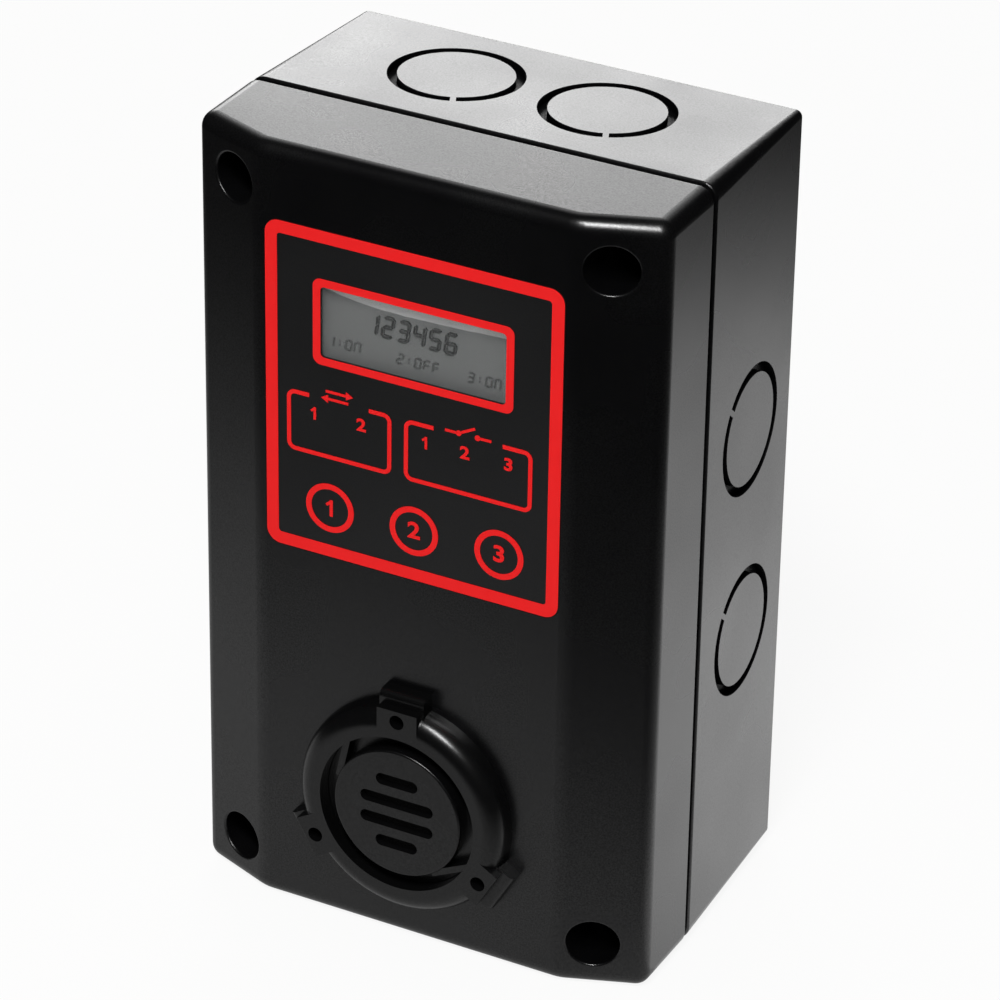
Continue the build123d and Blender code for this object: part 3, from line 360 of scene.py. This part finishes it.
# %% Give each solid its finish
finish_of_slot = {
    "moulded_abs": abs_black, "overlay_film": film, "overlay_ink": red_ink, "window_pane": pane,
    "display_glass": crystal_grey, "backlight": white_guide, "board": board_green, "steel": zinc,
    "brass": brass, "gasket": rubber, "filter_felt": felt, "cell_case": pale_moulding,
    "relay_case": relay_blue, "terminal_body": terminal_green, "component_body": black_epoxy,
    "capacitor_sleeve": sleeve, "coil": copper_coil, "fuse_glass": fuse_glass, "ribbon": ribbon_grey,
    "led_lens": lens_red, "key_cap": acetal_black,
}
slot_of_node = {part["node"]: part["material_slot"] for part in frame["record"]["subparts"]}
for name, piece in nodes.items():
    finish = finish_of_slot[slot_of_node[name]]
    if name in ("sensor_housing", "sensor_cap"):
        finish = abs_boss
    for index in range(len(piece.data.materials)):
        piece.data.materials[index] = finish
print("dressed", len(nodes), "solids in", len(finish_of_slot) + 1, "finishes")

# %% [markdown]
# ## The printed characters
# The keys and the places for the small lights carry printed figures. A figure starts as a text object,
# which is a curve with a little thickness. It is turned to face the viewer, made a mesh, and its place is
# then baked into that mesh, so that the object itself stays at the origin as the solids do. A figure of
# this font is 0.73 of its size high, so the size follows from the height that is wanted.

# %% Write figures as thin raised print
film_low, film_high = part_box("front_overlay")
ink_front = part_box("overlay_print")[0].y
ink_middle = (ink_front + film_low.y) / 2
ink_thickness = film_low.y - ink_front
figure_share = 0.73


def settle(piece, finish, body="enclosure"):
    """Bakes a piece's place into its mesh, dresses it and lets it ride on a body."""
    bpy.ops.object.select_all(action="DESELECT")
    piece.select_set(True)
    bpy.context.view_layer.objects.active = piece
    bpy.ops.object.transform_apply(location=True, rotation=True, scale=True)
    piece.data.materials.clear()
    piece.data.materials.append(finish)
    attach(piece, body)


def printed(name, text, x, z, height, weight, squeeze=1.15):
    """Characters printed on the film round a place. Weight thickens the strokes, squeeze widens them."""
    bpy.ops.object.select_all(action="DESELECT")
    bpy.ops.object.text_add(location=(x, ink_middle, z), rotation=(pi / 2, 0, 0))
    piece = bpy.context.object
    piece.name = name
    piece.data.body = text
    piece.data.align_x = "CENTER"
    piece.data.align_y = "CENTER"
    piece.data.resolution_u = 4
    piece.data.size = height / figure_share
    piece.data.offset = weight
    piece.data.extrude = ink_thickness / 2
    piece.scale = (squeeze, 1, 1)
    bpy.ops.object.convert(target="MESH")
    settle(bpy.context.object, red_ink)


print("ink is", round(ink_thickness / MM, 3), "mm thick")

# %% [markdown]
# ## Strokes of ink
# What the text font doesn't have is drawn from flat strokes, discs and triangles that meet end to end. The
# figure 1 is one of these: in the font it is a bare upright, and print on a key gives it a flag. The flag
# is a little thinner than the upright that it runs into, so that no two faces lie in the same place.

# %% Draw strokes and join them
def stroke(x, z, length, turn=0.0, width=0.58 * MM, share=1.0):
    """A flat bar of ink centred on a place, turned up from level by some degrees."""
    bpy.ops.object.select_all(action="DESELECT")
    bpy.ops.mesh.primitive_cube_add(size=1, location=(x, ink_middle, z), rotation=(0, -radians(turn), 0),
                                    scale=(length, ink_thickness * share, width))
    return bpy.context.object


def spot(x, z, radius, sides, turn=0.0):
    """A flat disc or triangle of ink, whose first corner points up before it is turned to the right."""
    bpy.ops.object.select_all(action="DESELECT")
    bpy.ops.mesh.primitive_cylinder_add(vertices=sides, radius=radius, depth=ink_thickness,
                                        location=(x, ink_middle, z), rotation=(pi / 2, radians(turn), 0))
    return bpy.context.object


def join_sign(name, parts):
    """Joins the strokes of a sign to one piece of ink."""
    bpy.ops.object.select_all(action="DESELECT")
    for part in parts:
        part.select_set(True)
    bpy.context.view_layer.objects.active = parts[0]
    bpy.ops.object.join()
    bpy.context.object.name = name
    settle(bpy.context.object, red_ink)


def figure_one(name, x, z, height, width):
    """The figure 1 with a flag at its top left, in shares of the figure's height and the stroke's width."""
    upright_x = x + 0.08 * height
    flag_x = upright_x - 0.15 * height
    flag_z = z + 0.29 * height
    join_sign(name, [
        stroke(upright_x, z, length=height, turn=90, width=width),
        stroke(flag_x, flag_z, length=0.4 * height, turn=38, width=0.85 * width, share=0.7)])


def legend(name, number, x, z, height, weight, width):
    """A printed number: the 1 from strokes, the others from the text font."""
    if number == 1:
        figure_one(name, x, z, height, width)
    else:
        printed(name, str(number), x, z, height, weight)


def middle(node):
    """The middle of a solid's box."""
    low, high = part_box(node)
    return (low + high) / 2


key_x = [middle(f"key_plunger_{number}").x for number in (1, 2, 3)]
key_z = middle("key_plunger_1").z
for number, x in enumerate(key_x, start=1):
    legend(f"key_figure_{number}", number, x, key_z, height=3.7 * MM, weight=0.14 * MM, width=0.72 * MM)
print("key figures at", [round(x / MM, 1) for x in key_x], "mm")

# %% [markdown]
# ## Captions over the small lights
# Two printed frames group the small lights behind the film. Each light has a figure over it: two in the
# left group and three in the right one.

# %% Caption the lights
left_group = 2
caption_z = film_high.z - 41.0 * MM
for number in range(1, 6):
    figure = number if number <= left_group else number - left_group
    legend(f"light_figure_{number}", figure, middle(f"status_led_{number}").x, caption_z, height=2.75 * MM,
           weight=0.12 * MM, width=0.56 * MM)
print("captions", round((film_high.z - caption_z) / MM, 1), "mm below the film's upper edge")

# %% [markdown]
# ## Signs for the two groups
# Each printed frame is open at the top, where a drawn sign says what its lights are for: a pair of arrows
# for messages that go both ways, and the open contact of a relay.

# %% Draw the group signs
sign_z = film_high.z - 36.1 * MM

arrows_x = -16.9 * MM
head = 1.05 * MM
shaft = 4.6 * MM
apart = 0.82 * MM
join_sign("message_arrows", [
    stroke(arrows_x - head / 4, sign_z + apart, shaft),
    spot(arrows_x - head / 4 + shaft / 2 + head / 2, sign_z + apart, head, sides=3, turn=90),
    stroke(arrows_x + head / 4, sign_z - apart, shaft),
    spot(arrows_x + head / 4 - shaft / 2 - head / 2, sign_z - apart, head, sides=3, turn=-90)])

contact_x = 12.5 * MM
contact_z = sign_z - 0.7 * MM
blade_z = sign_z + 0.4 * MM
lead = 2.4 * MM
blade = 3.4 * MM
dot = 0.62 * MM
join_sign("relay_contact", [
    stroke(contact_x - 3.85 * MM, contact_z, lead),
    spot(contact_x - 2.0 * MM, contact_z, dot, sides=16),
    stroke(contact_x + 0.1 * MM, blade_z, blade, turn=27),
    spot(contact_x + 2.2 * MM, contact_z, dot, sides=16),
    stroke(contact_x + 4.05 * MM, contact_z, lead)])
print("group signs", round((film_high.z - sign_z) / MM, 1), "mm below the film's upper edge")

# %% [markdown]
# ## What the display shows
# The main reading is in large seven-bar figures that lean to the right, as liquid crystal cells draw them,
# and below it the state of each relay, ON or OFF, is in small ones. A bar is modelled once for each size: a
# flat six-sided block with pointed ends. Each line of figures is then built from copies of it.

# %% Model one bar of a figure
cell_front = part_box("display_glass")[0].y
pane_back = display_high.y
bar_thickness = 0.06 * MM
point_share = 0.48


def bar(name, length, width):
    """A pointed bar that lies along X and faces the viewer, centred on the origin."""
    bpy.ops.object.select_all(action="DESELECT")
    bpy.ops.mesh.primitive_cube_add(size=1, location=(0, 0, 0), scale=(length, bar_thickness, width))
    piece = bpy.context.object
    piece.name = name
    bpy.ops.object.transform_apply(location=False, rotation=False, scale=True)
    bpy.ops.object.mode_set(mode="EDIT")
    bpy.ops.mesh.select_all(action="DESELECT")
    bpy.ops.object.mode_set(mode="OBJECT")
    for edge in piece.data.edges:
        ends = [piece.data.vertices[v].co for v in edge.vertices]
        edge.select = abs(ends[0].y - ends[1].y) > bar_thickness / 2
    bpy.ops.object.mode_set(mode="EDIT")
    bpy.ops.mesh.select_mode(type="EDGE")
    bpy.ops.mesh.bevel(offset=width * point_share, offset_type="OFFSET", segments=1, affect="EDGES")
    bpy.ops.object.mode_set(mode="OBJECT")
    return piece


large_bar = bar("large_pattern_bar", 2.2 * MM, 0.75 * MM)
small_bar = bar("small_pattern_bar", 1.25 * MM, 0.54 * MM)
print("one bar has", len(large_bar.data.vertices), "corners")

# %% [markdown]
# The seven bars of a figure lie at fixed places: one at the top, the middle and the foot, and two on each
# side. The first table names them by the letters that display makers use, with p and q for the two points
# of a colon. It gives how far across and up each bar lies, in half widths and half heights of the figure,
# how far it is turned and what share of the full length it has. The second table says which are dark for
# each character.

# %% Build the lines of the display from bars
figure_lean = radians(8)
bar_places = {
    "a": (0, 1, 0, 1), "g": (0, 0, 0, 1), "d": (0, -1, 0, 1),
    "f": (-1, 0.5, 90, 1), "b": (1, 0.5, 90, 1), "e": (-1, -0.5, 90, 1), "c": (1, -0.5, 90, 1),
    "p": (0, 0.4, 0, 0.4), "q": (0, -0.4, 0, 0.4),
}
bars_of = {"1": "bc", "2": "abged", "3": "abgcd", "4": "fgbc", "5": "afgcd", "6": "afgedc", ":": "pq",
           "O": "abcdef", "N": "abcef", "F": "aefg"}


def bar_line(name, text, x, z, width, height, pitch, pattern):
    """A line of seven-bar figures centred on a place, joined to a single piece and leant to the right."""
    bpy.ops.object.select_all(action="DESELECT")
    made = []
    for index, letter in enumerate(text):
        shift = (index - (len(text) - 1) / 2) * pitch
        for place in bars_of[letter]:
            across, up, turn, share = bar_places[place]
            copy = pattern.copy()
            copy.data = pattern.data.copy()
            bpy.context.collection.objects.link(copy)
            copy.rotation_euler = (0, radians(turn), 0)
            copy.scale = (share, 1, 1)
            copy.location = (shift + across * width / 2, 0, up * height / 2)
            copy.select_set(True)
            made.append(copy)
    bpy.context.view_layer.objects.active = made[0]
    bpy.ops.object.transform_apply(location=True, rotation=True, scale=True)
    bpy.ops.object.join()
    piece = bpy.context.object
    piece.name = name
    lean = Matrix.Identity(4)
    lean[0][2] = sin(figure_lean)
    piece.data.transform(lean)
    piece.location = (x, (cell_front + pane_back) / 2, z)
    settle(piece, digit_dark)


reading_x = (display_low.x + display_high.x) / 2 - 1.3 * MM
reading_z = film_high.z - 18.8 * MM
state_z = film_high.z - 25.1 * MM
states = {"1:ON": -16.5 * MM, "2:OFF": 0.1 * MM, "3:ON": 14.9 * MM}
bar_line("display_reading", "123456", reading_x, reading_z, width=2.1 * MM, height=4.2 * MM, pitch=3.5 * MM,
         pattern=large_bar)
for index, (text, x) in enumerate(states.items(), start=1):
    bar_line(f"relay_state_{index}", text, x, state_z, width=1.25 * MM, height=2.1 * MM, pitch=2.0 * MM,
             pattern=small_bar)
bpy.data.objects.remove(large_bar)
bpy.data.objects.remove(small_bar)
print("a reading of six figures over three relay states")

# %% [markdown]
# ## Floor and light
# The box stands on a wide pale sheet. The camera sees that sheet as plain white, but a share of its real
# shading is left in, so the box keeps a soft shadow. A glossy surface sees only a pool of white round the
# box, as if the sheet were lit by a spot and the room beyond were dark. The pool is strongest behind the
# box, about half as strong in front of it, and weaker still at the right of the front. That keeps the black
# front black and lets the side wall glow.

# %% Lay the floor
pool_middle = (-30 * MM, 50 * MM, 0)
pool_inner = 165 * MM
pool_outer = 365 * MM
share_beyond = 0.02
share_in_front = 0.46
share_at_right_front = 0.33
bpy.ops.object.select_all(action="DESELECT")
floor_z = solid_box[0].z
bpy.ops.mesh.primitive_plane_add(size=8.0, location=(0, 0, floor_z))
floor = bpy.context.object
floor.name = "paper_floor"


def slope(tree, place, direction, start, end, low, high):
    """A value that goes from low to high between two distances along a direction of the floor."""
    along = add(tree, "ShaderNodeVectorMath", {0: place}, operation="DOT_PRODUCT")
    along.inputs[1].default_value = direction
    ramp = add(tree, "ShaderNodeMapRange", {"Value": along.outputs["Value"]}, from_min=start, from_max=end,
               to_min=low, to_max=high)
    return ramp.outputs["Result"]


def paper(name, white_share):
    """White paper that a mirror-like surface sees as a pool of light, brightest behind the box."""
    finish, tree, output, place = new_finish(name)
    grain = add(tree, "ShaderNodeTexNoise", {"Vector": place}, scale=per_mm(25.0), detail=3.0)
    tone = two_tone(tree, grain.outputs["Fac"], "#f0f0ee", "#f6f6f4")
    sheet = add(tree, "ShaderNodeBsdfDiffuse", {"Color": tone})
    behind = slope(tree, place, (0.5, 1, 0), -60 * MM, 20 * MM, share_in_front, 1.0)
    right_front = slope(tree, place, (1.94, -1, 0), 111 * MM, 371 * MM, 1.0, share_at_right_front)
    reach = add(tree, "ShaderNodeVectorMath", {0: place}, operation="DISTANCE")
    reach.inputs[1].default_value = pool_middle
    pool = add(tree, "ShaderNodeMapRange", {"Value": reach.outputs["Value"]},
               interpolation_type="SMOOTHSTEP", from_min=pool_inner, from_max=pool_outer, to_min=1.0,
               to_max=share_beyond)
    round_box = add(tree, "ShaderNodeMath", {0: behind, 1: right_front}, operation="MULTIPLY")
    level = add(tree, "ShaderNodeMath", {0: round_box.outputs["Value"], 1: pool.outputs["Result"]},
                operation="MULTIPLY")
    path = add(tree, "ShaderNodeLightPath")
    seen = add(tree, "ShaderNodeEmission", {"Strength": path.outputs["Is Camera Ray"]})
    mirrored = add(tree, "ShaderNodeEmission", {"Strength": level.outputs["Value"]})
    direct = add(tree, "ShaderNodeMath", {0: path.outputs["Is Camera Ray"]}, operation="MULTIPLY")
    direct.inputs[1].default_value = white_share
    shown = add(tree, "ShaderNodeMixShader", {0: direct.outputs["Value"], 1: sheet.outputs["BSDF"],
                2: seen.outputs["Emission"]})
    gloss = add(tree, "ShaderNodeMath", {0: path.outputs["Is Glossy Ray"],
                1: path.outputs["Is Transmission Ray"]}, operation="MAXIMUM")
    both = add(tree, "ShaderNodeMixShader", {0: gloss.outputs["Value"], 1: shown.outputs["Shader"],
               2: mirrored.outputs["Emission"]})
    tree.links.new(both.outputs["Shader"], output.inputs["Surface"])
    return finish


floor.data.materials.append(paper("pale_paper", white_share=0.9))
print("floor at", round(floor_z / MM, 1), "mm")

# %% [markdown]
# ## Lamps
# A black box shows its form only by what it reflects. A broad lamp behind and above is mirrored in its top.
# A long narrow one over the viewer's shoulder lights the print evenly, and draws the white line on the
# upper edge of the right strip and the one on the boss. Both are placed by the direction they shine from
# and aim at the middle of the box. A dim glowing card that lies on the floor at the right rear and faces up
# is mirrored in the side wall.

# %% Hang the lamps
box_middle = (solid_box[0] + solid_box[1]) / 2


def lamp(name, width, height, power, location, rotation):
    """A soft rectangular lamp that the camera doesn't see itself."""
    bpy.ops.object.select_all(action="DESELECT")
    bpy.ops.object.light_add(type="AREA", location=location)
    made = bpy.context.object
    made.name = name
    made.rotation_euler = rotation
    made.data.shape = "RECTANGLE"
    made.data.size = width
    made.data.size_y = height
    made.data.energy = power
    made.visible_camera = False


def aimed(azimuth, elevation, distance, roll=0.0):
    """Place and turn of a lamp that aims at the box. Azimuth 0 is in front of it and 90 is on its right."""
    turn, rise = radians(azimuth), radians(elevation)
    away = Vector((sin(turn) * cos(rise), -cos(turn) * cos(rise), sin(rise)))
    aim = (-away).to_track_quat("-Z", "Y").to_matrix() @ Matrix.Rotation(radians(roll), 3, "Z")
    return {"location": box_middle + away * distance, "rotation": aim.to_euler()}


lamp("rear_softbox", width=0.75, height=0.42, power=4.9, **aimed(azimuth=210, elevation=19.5, distance=1.4))
lamp("key_strip", width=0.17, height=0.7, power=17.5,
     **aimed(azimuth=17.5, elevation=53, distance=1.5, roll=34.7))
card_lift = 1 * MM
lamp("bounce_card", width=0.11, height=0.3, power=0.03, location=(109 * MM, 83 * MM, floor_z + card_lift),
     rotation=(pi, 0, radians(-27.4)))

# %% [markdown]
# ## The room
# Beyond the floor, the room is plain white to the camera and a weak, even light to matt surfaces. A glossy
# surface sees a dark room that brightens only behind the box, up and a little to the left.

# %% Set the surroundings
toward_glow = (-0.40, 0.78, 0.48)
world = bpy.data.worlds.new("studio_surroundings")
bpy.context.scene.world = world
world.use_nodes = True
room = world.node_tree
room.nodes.clear()
direction = add(room, "ShaderNodeTexCoord").outputs["Generated"]
toward = add(room, "ShaderNodeVectorMath", {0: direction}, operation="DOT_PRODUCT")
toward.inputs[1].default_value = toward_glow
glow = add(room, "ShaderNodeMapRange", {"Value": toward.outputs["Value"]}, from_min=0.84, from_max=0.97,
           to_min=0.01, to_max=1.0)
rays = add(room, "ShaderNodeLightPath")
mirror = add(room, "ShaderNodeMath", {0: rays.outputs["Is Glossy Ray"],
             1: rays.outputs["Is Transmission Ray"]}, operation="MAXIMUM")
ambient = add(room, "ShaderNodeBackground", color=linear("#ffffff"), strength=0.25)
mirrored = add(room, "ShaderNodeBackground", {"Strength": glow.outputs["Result"]}, color=linear("#ffffff"))
white = add(room, "ShaderNodeBackground", color=linear("#ffffff"), strength=1.0)
for_gloss = add(room, "ShaderNodeMixShader", {0: mirror.outputs["Value"], 1: ambient.outputs["Background"],
                2: mirrored.outputs["Background"]})
for_camera = add(room, "ShaderNodeMixShader", {0: rays.outputs["Is Camera Ray"],
                 1: for_gloss.outputs["Shader"], 2: white.outputs["Background"]})
add(room, "ShaderNodeOutputWorld", {"Surface": for_camera.outputs["Shader"]})
print("surroundings:", world.name)

# %% [markdown]
# ## Camera
# The camera stands a metre off, to the right of the box and well above it, with a long lens that keeps the
# upright edges nearly parallel. It is aimed by two angles, then rolled by one degree.

# %% Place the camera
view_azimuth = radians(27.39)
view_elevation = radians(29.27)
view_roll = radians(0.99)
view_distance = 1009.3 * MM
view_aim = Vector((12.28, -55.38, 13.30)) * MM
bpy.ops.object.select_all(action="DESELECT")
bpy.ops.object.camera_add()
camera = bpy.context.object
camera.name = "viewer"
turned = (Matrix.Rotation(view_azimuth, 4, "Z") @ Matrix.Rotation(pi / 2 - view_elevation, 4, "X")
          @ Matrix.Rotation(view_roll, 4, "Z"))
camera.matrix_world = Matrix.Translation(view_aim) @ turned @ Matrix.Translation((0, 0, view_distance))
camera.data.lens = 181.34
camera.data.sensor_width = 36.0
bpy.context.scene.camera = camera
bpy.context.scene.view_settings.view_transform = "Standard"
print("camera at", [round(v / MM) for v in camera.matrix_world.translation], "mm")
